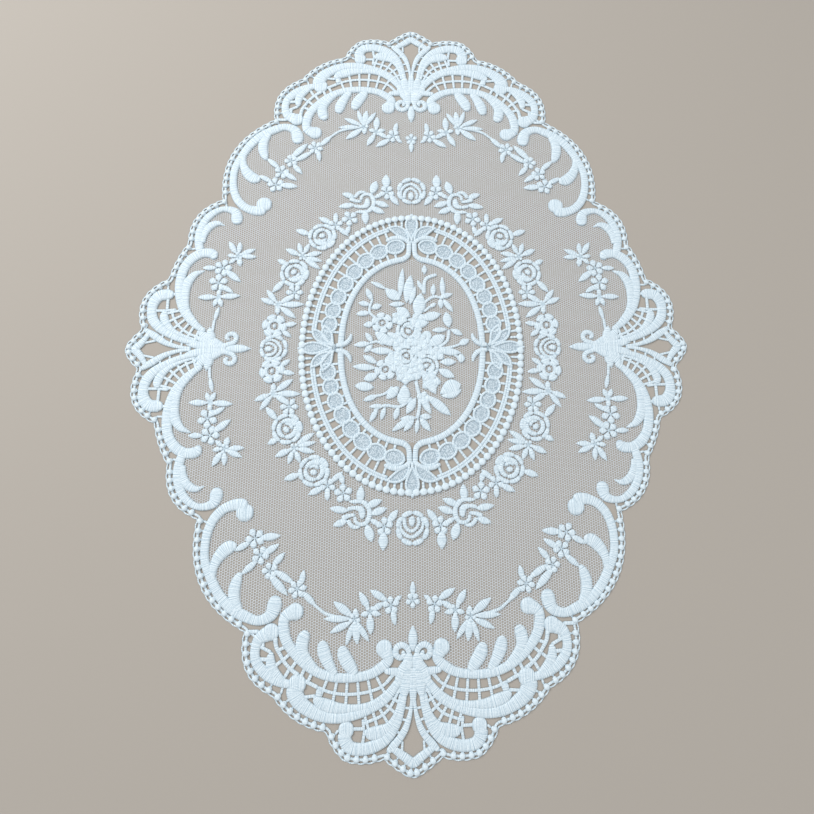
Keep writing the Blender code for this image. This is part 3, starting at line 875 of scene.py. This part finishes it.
GARLAND_LEAVES = (
    (14.4, 93.5, 14.5, 102.2, 4.8), (12.5, 89.5, 7.3, 83.2, 3.4), (16.5, 90, 21, 87.6, 2.6),
    (22.8, 89.8, 20, 98.2, 4.6), (21, 85.2, 12.8, 82.3, 3.6), (23.4, 81.6, 15.2, 78.2, 3.6),
    (32.2, 87.8, 39.3, 90.2, 3.4), (31.8, 83.3, 41, 81.9, 3.4), (26.2, 80, 25.7, 71.2, 4),
    (34.6, 70.5, 36.6, 64.6, 2.8), (42.5, 73, 42.5, 78.2, 2.8), (44.5, 71.6, 52, 75.2, 3.2),
    (41, 69.3, 35.2, 64.2, 2.8), (56.5, 65, 64.4, 67.7, 3.4), (59.4, 53.4, 56.6, 59.4, 2.8),
    (60.6, 53.4, 62.6, 60, 2.8), (61.5, 52.6, 69.4, 56.3, 3.2), (58.5, 52.4, 49.6, 54.2, 3),
    (58.5, 51.2, 49.2, 49.2, 2.6), (59, 50.5, 50.2, 44.6, 3), (68.5, 47.5, 73.4, 49.8, 3),
    (69.2, 37.8, 75.4, 31.2, 3.4), (71, 25, 63.6, 29.4, 3.2), (70.5, 24, 58, 24.4, 3.4),
    (71, 23, 62.2, 16.6, 3.4), (72.8, 25.2, 78.3, 32.5, 3), (73.6, 24.4, 81.5, 27.7, 3),
    (72, 23, 72, 18.6, 2.8), (68.2, 12.6, 61.6, 13.6, 2.8), (69.2, 9.6, 64.2, 6.2, 2.8),
)
GARLAND_FLOWERS = (
    (14, 91, 4.6, 5, 54), (34.6, 74.8, 4.8, 5, 60), (42.5, 71, 4.2, 5, 90), (60, 52, 2.6, 5, 20),
    (63.5, 31, 4.8, 6, 0), (72, 24.2, 2.4, 6, 0),
)
GARLAND_ROSES = ((49.6, 63.6, 8, 90), (64, 42.3, 8, 60))
# A rose seen from the side: heart, outer petals, and the folds between them.
SIDE_ROSE = (
    ((25.3, 87.4, 0.8), (25, 85, 1.45), (25.6, 82.8, 1.6), (28, 82, 0.95), (32.5, 82.4, 1)),
    ((24, 79.6, 1.1), (21.7, 82.5, 1.1), (21.5, 86, 1.2), (23.2, 89.2, 1), (26, 89.8, 0.9),
     (28.2, 88.4, 0.75), (28.5, 86, 0.7)),
    ((26, 91, 0.5), (29, 91, 0.9), (30.9, 89.6, 1), (32, 87.6, 1)),
    ((28.4, 85.2, 0.75), (31.5, 85.6, 0.9), (35, 87, 1.5)),
    ((22.4, 80.4, 1.3), (26, 78.8, 0.9), (29, 78.9, 0.9), (31.6, 78.8, 0.4)),
)

motifs = [leaf(*row) for row in SPRAY_LEAVES]
motifs += [path for row in SPRAY_FLOWERS for path in flower(*row)]
motifs += [band(row) for row in SPRAY_STEMS]
spray_paths = repeated(motifs)
on_axis = [leaf(0, 123.8, 0, 116.8, 2.6), *flower(0, 125.3, 3.6, 5, 90)]
spray_paths += repeated(on_axis, across=(1,))
satin("sprays", spray_paths, satin_polyester, base=MOTIF_BASE, crown=MOTIF_CROWN)

motifs = [leaf(*row) for row in GARLAND_LEAVES]
motifs += [path for row in GARLAND_FLOWERS for path in flower(*row)]
motifs += [path for row in GARLAND_ROSES for path in rose(*row)]
motifs += [band(row) for row in SIDE_ROSE]
heart, eyelet, *petals = eyelet_flower(73.3, 12.2, 6.8, 10)
motifs += [heart, *petals]
garland_paths = repeated(motifs)
garland_paths += repeated(half_open_rose(0, 92, 8.4, 90), across=(1,))
garland_paths += repeated(half_open_rose(73, 0, 7.4, 180), along=(1,))
satin("garland", garland_paths, satin_polyester, base=MOTIF_BASE, crown=MOTIF_CROWN)
eyelets = repeated([eyelet])
satin("garland_eyelets", eyelets, satin_polyester, base=MOTIF_BASE, crown=MOTIF_CROWN, closed=True)

# ---------------------------------------------------------------------------------------------
# Oval ring round the centre.
# Beads on its outside, then bars, a double cord, more bars, a chain of sheer discs in white rims
# and a plain satin band. A tulip on each axis breaks the chain.

BAND_POWER = 2.18  # its satin band is squarer still
CORD_LINE = (52.8, 69.7)  # half width and half length of the ovals: middle of the double cord
CORD_FOOT = (52.0, 68.9)  # where bars leave its inner side
BAND_LINE = (37.8, 50.4)  # middle of the satin band
BAND_FOOT = (38.6, 51.2)  # where bars leave its outer side
CORD_OFFSET = 0.68  # each of the two cords from their middle
RING_CORD_HALF = 0.6
BAND_HALF = 1.6
RING_BEADS = 112
INNER_BARS = 76
SLIT_BARS = 68
BAR_HALF = 0.58
RING_BEAD = (4.2, 3.9, 1.45, 0.05)  # length, width, height and underside
RIM = 0.72  # half width of the satin rim round a disc or a petal
FILLING_INSET = 0.7  # the sheer filling inside the edge of its rim
DISCS = (
    (9.1, 57.6), (18.1, 54.6), (25.4, 49.3), (31.4, 42.9), (36.1, 35.7), (39.8, 28.4), (42.5, 20.8),
    (44.2, 13),
)
DISC_DEPTH = 9.1  # across the ring


def oval_patch(x, y, half_length, half_width, angle):
    """A stitched oval whose length points along angle, in radians."""
    stations = []
    for t in numpy.cos(numpy.linspace(math.pi, 0, 11)):
        half = half_width * math.sqrt(max(0.0, 1 - t * t))
        along = half_length * t
        stations.append((x + along * math.cos(angle), y + along * math.sin(angle), half))
    return band(stations)


def outlined(path):
    """The rim round a band, as a closed path."""
    ahead = numpy.gradient(path[:, :2], axis=0)
    across = numpy.stack([-ahead[:, 1], ahead[:, 0]], axis=1) / numpy.hypot(*ahead.T)[:, None]
    reach = numpy.maximum(path[:, 2:] - RIM, 0.05)
    loop = numpy.vstack([path[:, :2] + across * reach, (path[:, :2] - across * reach)[::-1]])
    return with_half(loop, RIM - SPREAD)


def narrowed(path, margin):
    """The same band with its half widths reduced, and its tips cut back where none is left."""
    inner = path[path[:, 2] > margin + 0.1].copy()
    inner[:, 2] -= margin
    return inner


ring_beads = evenly(oval(*RING_BEAD_LINE), 2 * RING_BEADS)[1::2]  # none on an axis
padding("ring_beads", ring_beads, *RING_BEAD, satin_polyester)

# The double cord runs from tulip to tulip. The satin band turns outwards at the long ends, where
# its two halves are the stem of a tulip.
cord_line = evenly(oval(*CORD_LINE), 360)
cords = []
for offset in (-CORD_OFFSET, CORD_OFFSET):
    line = inside(cord_line, offset)
    cords.append([(x, y, RING_CORD_HALF) for x, y in line if x > 12 and y > 9.5])
stem = [(1.2, 61.5, 1.1), (1.5, 58.5, 1.35), (1.6, 55, 1.3), (2.2, 52.5, 1.4), (4.3, 50.7, 1.5)]
band_line = oval(*BAND_LINE, count=180, power=BAND_POWER)
round_side = [(x, y, BAND_HALF) for x, y in band_line if x > 8 and y > -1]
side_band = band(stem + round_side)
ring_lines = repeated([*cords, side_band])
ring_cords = satin("ring_cords", ring_lines, satin_polyester, base=0.15, crown=1.15)
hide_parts("oval_ring")

# Petals of the tulips: base, tip, width, bend and belly.
TULIP_PETALS = (
    (1.3, 60, 13.6, 68.8, 6.4, 0.16, 0.52), (42, 1, 53.2, 10.6, 5.8, -0.05, 0.6),
    (41.2, 1.2, 46.8, 12.6, 6.2, -0.07, 0.58),
)
LONG_PETAL = (0, 60, 0, 77.2, 7.8, 0, 0.64)
SIDE_PETAL = (41, 0, 60.2, 0, 7.4, 0, 0.6)
# Stitched line over the first disc, and the horns of the side tulips.
TULIP_LINES = (
    ((1.3, 59.5, 0.9), (3.2, 61.5, 1.1), (6.5, 62.9, 1.2), (10.5, 62.8, 1.2), (14.4, 61, 0.9)),
    ((39.8, 0, 1.2), (41.5, 0, 1.7), (43.6, 0, 0.9)),
    ((40.8, 1.3, 1.1), (37.4, 1.7, 1.2), (34.6, 3, 1.2), (32.9, 5.4, 1), (32.5, 7.9, 0.4)),
)
chain = [(0, 59.4), *DISCS, (44.8, 5)]
low = []
for before, (x, y), after in zip(chain, DISCS, chain[2:]):
    angle = math.atan2(after[1] - before[1], after[0] - before[0])
    low.append(oval_patch(x, y, math.dist(before, after) / 4 + 0.5, DISC_DEPTH / 2, angle))
low = repeated(low)
high = repeated([leaf(*row) for row in TULIP_PETALS])
high += repeated([leaf(*LONG_PETAL)], across=(1,))
high += repeated([leaf(*SIDE_PETAL)], along=(1,))
# Bars: from each bead to the double cord, and from the cord and the satin band to the rims. Near an
# axis there are tulips in place of bars.
disc_edges = numpy.vstack([outlined(path) for path in low])[:, :2]
all_edges = numpy.vstack([outlined(path) for path in low + high])[:, :2]
bars = []
for p in ring_beads[numpy.abs(ring_beads).min(axis=1) > 5.0]:
    bars += tie(p, cord_line, BAR_HALF)
cord_foot = evenly(oval(*CORD_FOOT), INNER_BARS)
band_foot = evenly(oval(*BAND_FOOT, power=BAND_POWER), SLIT_BARS)
for loop, edges, clear in ((cord_foot, disc_edges, 12.5), (band_foot, all_edges, 4.5)):
    for p, square in zip(loop, loop - inside(loop, 1)):
        if min(abs(p)) > clear:
            bars += tie(p, edges, BAR_HALF, square)
satin("ring_bars", bars, satin_polyester, base=0.15, crown=1.1, stitch=2 * STITCH)
for label, pads, base, crown in (("ring", low, 0.15, 1.7), ("tulip", high, 0.35, 1.8)):
    rims = [outlined(path) for path in pads]
    satin(label + "_rims", rims, satin_polyester, base=base, crown=crown, closed=True)
tulip_lines = repeated([band(row) for row in TULIP_LINES])
satin("tulip_lines", tulip_lines, satin_polyester, base=0.2, crown=1.3)
# Open filling stitches: greyer than the satin, as the table shows through between the threads. Like
# the satin, it has painted shade between its ribs.
sheer_fill = laid_thread(
    "sheer_fill", lit="#D2DEE5", shaded="#93A6B2", roughness=0.7, streak=1.5, fluff=4.0
)
for label, pads, base in (("ring", low, 0.1), ("tulip", high, 0.35)):
    fillings = [narrowed(path, FILLING_INSET) for path in pads]
    satin(label + "_sheer", fillings, sheer_fill, base=base, crown=0.4)

# ---------------------------------------------------------------------------------------------
# Net centre, inside the ring.
# The same nylon tulle as the ground, in one oval piece caught under the ring's satin band.

under_band = oval(37.4, 50.2, power=BAND_POWER)
net_panel("tulle_centre", [under_band], "net_centre")

# ---------------------------------------------------------------------------------------------
# Bouquet on the net centre.
# Three roses, two eyelet flowers, buds and loose leaves in the same satin stitch as the garland.
# It is one design from end to end and isn't mirrored.

# Leaves: base, tip and width.
BOUQUET_LEAVES = (
    (-6.5, 28, -5, 45, 3.3), (-3, 25, -0.5, 41, 5.5), (-1, 24, 2, 34.5, 3), (6, 32, 3, 38, 2.2),
    (7, 41.5, 7, 46.8, 2.8), (3, 17, 5, 30.5, 7), (17, 28, 16.7, 40, 2.8), (11.5, 29, 12, 35.8, 2.8),
    (15, 28, 22.3, 30.2, 2.8), (15.5, 27.5, 16, 21.8, 3), (17, 27, 22.3, 19.8, 3),
    (9.5, 22.5, 13.2, 24.7, 2.2), (5, 16, 15.8, 18.7, 5), (20, 11, 18.5, 19.8, 5),
    (19, 10, 10.8, 9.4, 2.8), (21, 10, 27.3, 6.8, 3), (9, 1, 17.8, 6.7, 6), (25, 1.5, 30.8, 4.2, 3.5),
    (14.5, -2, 26.3, -3, 4), (24, -6, 28.4, -6, 5), (15, -8, 23.4, -8, 4), (14, -12, 22.4, -16.2, 4.5),
    (8, -26, 20.2, -36.4, 5), (5, -27, 9.7, -35.4, 3.6), (4, -36.5, 10, -37.2, 3),
    (4, -37.5, 9.4, -44.5, 3.5), (3, -38, 2, -45.5, 2.4), (2, -37.5, -6.4, -38, 3),
    (1, -38, -4.4, -44.4, 3), (0, -37, -10.4, -44.2, 3.5), (-4, -20, -4, -30.4, 6),
    (2, -27, -3, -35.4, 4), (-5, -31, -7.2, -24.6, 3), (-7, -31.5, -9.2, -38.4, 3),
    (-14, -31.5, -16.2, -38.4, 2.6), (-15, -31, -22.4, -31.4, 2.4), (-18, -32.5, -21.8, -39.3, 2.8),
    (-7, -21, -13.3, -27.4, 5), (-18, -25.5, -25.4, -28.2, 3), (-20, -21.2, -30, -20.4, 5),
    (-19, -11, -31.4, -10, 3.6), (-18.5, -8.5, -25.8, -4.2, 3.5), (-18, -14.5, -25.4, -17.2, 4.5),
    (-10, -2, -22.4, -1.4, 4), (-10, 1, -19.8, 8.8, 5.5), (-21, 3, -24.8, 8.4, 3),
    (-22, 2.5, -31, 1.4, 3), (-21, 1.5, -25.3, -2.3, 3), (-20.5, 13.4, -26, 12.4, 3.4),
    (-21.5, 26.5, -24.8, 33.4, 3.2), (-22.5, 24, -29, 25.2, 3), (-22.5, 19.5, -30, 18.8, 3),
    (-22, 22, -16.3, 23.8, 3.4), (-7, 5, -13.4, 8.2, 3.2), (-14, 33, -22.4, 37.2, 2.4),
    (-6, 27, -14.4, 32.3, 6), (-4, 24.5, -12.4, 24, 3), (-1, 17, -8.4, 22.3, 5.5),
    (8, -17, 12.5, -25, 4.5), (1, 12, 9, 14, 4),
)
# Stems: stations.
BOUQUET_STEMS = (
    ((6.5, 30, 0.9), (8, 39, 0.9), (13.8, 41.4, 0.8)),
    ((6, 24.5, 0.7), (12, 28.5, 0.7), (17.5, 27.6, 0.6)),
    ((6.5, 20, 0.6), (10, 23, 0.6)),
    ((20, 10, 0.7), (19, 4, 0.7), (13.5, -0.5, 0.7)),
    ((14, -0.5, 0.7), (19, -0.2, 0.6), (25.5, 1.5, 0.6)),
    ((22, -3.5, 0.6), (24.5, -5.5, 0.6)),
    ((2, -18, 0.9), (4, -30, 0.8), (2.6, -38, 0.8)),
    ((0, -27, 0.8), (-6, -31.4, 0.7), (-15, -31, 0.7), (-20, -33.5, 0.5)),
    ((-10, -21, 0.7), (-14, -24.5, 0.6), (-19.5, -26, 0.6)),
    ((-15, 2, 0.6), (-19, 3.4, 0.6), (-22.5, 2.6, 0.6)),
    ((-17.5, 15, 0.7), (-22.8, 20, 0.6), (-21.4, 27.5, 0.6)),
    ((-8, 30, 0.7), (-14.5, 33.4, 0.6)),
)
BOUQUET_ROSES = ((-1.6, 9.4, 7, 250), (-3.2, -4.8, 6, 60), (7.8, -10.4, 6.6, 140))
BOUQUET_BUD = ((14.6, -25, 25.8, -20, 8.6, 0.04, 0.58), (15, -25.8, 26, -22.6, 3.2, -0.14))
BOUQUET_FLOWERS = (
    (5, 2.8, 5.6, 6, 10), (2.4, -9.6, 4.6, 5, 40), (-9.4, -6, 5, 6, 0), (10, -18.6, 5.4, 5, 0),
    (-3.4, -14.6, 5.6, 6, 30), (6, -27.5, 4, 5, 10), (-8.6, 4.6, 4.6, 5, 60), (13.4, -3.4, 4.4, 5, 30),
    (-7, 16.4, 4.4, 5, 0), (3.6, 14.6, 5, 5, 50),
)
BOUQUET_FILLING = (
    (-4, 2.2, 2.8), (-7.4, 0.6, 2.8), (1.6, -1.6, 2.6), (4.8, -3, 2.8), (8.4, -1, 2.8),
    (-8, -10.4, 2.8), (2.2, -14.8, 2.8), (-0.6, 3.4, 2.6), (8, 6.6, 2.6), (-6, -14, 2.6),
)
BOUQUET_EYELETS = ((-14, -11.8, 6, 10), (-16, 13.7, 6, 40))

motifs = [leaf(*row) for row in BOUQUET_LEAVES]
motifs += [band(row) for row in BOUQUET_STEMS]
motifs += [path for row in BOUQUET_FLOWERS for path in flower(*row)]
motifs += [path for row in BOUQUET_ROSES for path in rose(*row)]
motifs += [leaf(*row) for row in BOUQUET_BUD]
eyelets = []
for row in BOUQUET_EYELETS:
    heart, eyelet, *petals = eyelet_flower(*row)
    motifs += [heart, *petals]
    eyelets.append(eyelet)
satin("bouquet", motifs, satin_polyester, base=MOTIF_BASE, crown=MOTIF_CROWN)
satin("bouquet_eyelets", eyelets, satin_polyester, base=MOTIF_BASE, crown=MOTIF_CROWN, closed=True)
# The flowers in the middle are worked over a lower layer, so no net shows between them.
underlay = [knob(x, y, reach * 0.8) for x, y, reach, _, _ in BOUQUET_FLOWERS]
underlay += [knob(*row) for row in BOUQUET_FILLING]
satin("bouquet_underlay", underlay, satin_polyester, base=MOTIF_BASE, crown=0.3)

# ---------------------------------------------------------------------------------------------
# Floor, light and camera.
# A plain pale floor, a wide soft light from the upper left, a weaker one opposite, and a pale
# room. The camera stands a little below the doily's middle and looks down on it.

floor_paint = bpy.data.materials.new("pale_matt_floor")
floor_paint.use_nodes = True
floor_shader = floor_paint.node_tree.nodes["Principled BSDF"]
floor_shader.inputs["Base Color"].default_value = linear("#A8A198")
floor_shader.inputs["Roughness"].default_value = 0.8
floor_mesh = bpy.data.meshes.new("floor")
FLOOR_REACH = 3.0  # metres each way
floor_corners = ((-1, -1), (1, -1), (1, 1), (-1, 1))
spread = [(x * FLOOR_REACH, y * FLOOR_REACH, 0.0) for x, y in floor_corners]
floor_mesh.from_pydata(spread, [], [(0, 1, 2, 3)])
floor_mesh.materials.append(floor_paint)
floor = bpy.data.objects.new("floor", floor_mesh)
bpy.context.scene.collection.objects.link(floor)

world = bpy.data.worlds.new("pale_room")
world.use_nodes = True
world.node_tree.nodes["Background"].inputs["Color"].default_value = linear("#F2F4F6")
world.node_tree.nodes["Background"].inputs["Strength"].default_value = 0.55
bpy.context.scene.world = world

# Place, size and power of each light.
LIGHTS = (((-0.7, 0.6, 0.9), 0.7, 14.0), ((0.9, -0.5, 1.0), 1.0, 5.0))
for i, (place, size, power) in enumerate(LIGHTS):
    lamp = bpy.data.lights.new(f"soft_light_{i + 1}", "AREA")
    lamp.size = size
    lamp.energy = power
    light = bpy.data.objects.new(lamp.name, lamp)
    light.location = place
    light.rotation_euler = (-Vector(place)).to_track_quat("-Z", "Y").to_euler()
    bpy.context.scene.collection.objects.link(light)

lens = bpy.data.cameras.new("camera")
lens.lens = 26.54
lens.sensor_width = 36.0
lens.shift_x = -0.045
lens.shift_y = -0.088
lens.clip_start = 0.01
camera = bpy.data.objects.new("camera", lens)
camera.location = (0.0020, -0.0731, 0.3133)
tilt = Vector([math.radians(a) for a in (14.307, -2.619, -0.610)])
camera.rotation_mode = "QUATERNION"
camera.rotation_quaternion = Quaternion(tilt.normalized(), tilt.length)
bpy.context.scene.collection.objects.link(camera)
bpy.context.scene.camera = camera
bpy.context.scene.view_settings.view_transform = "Standard"
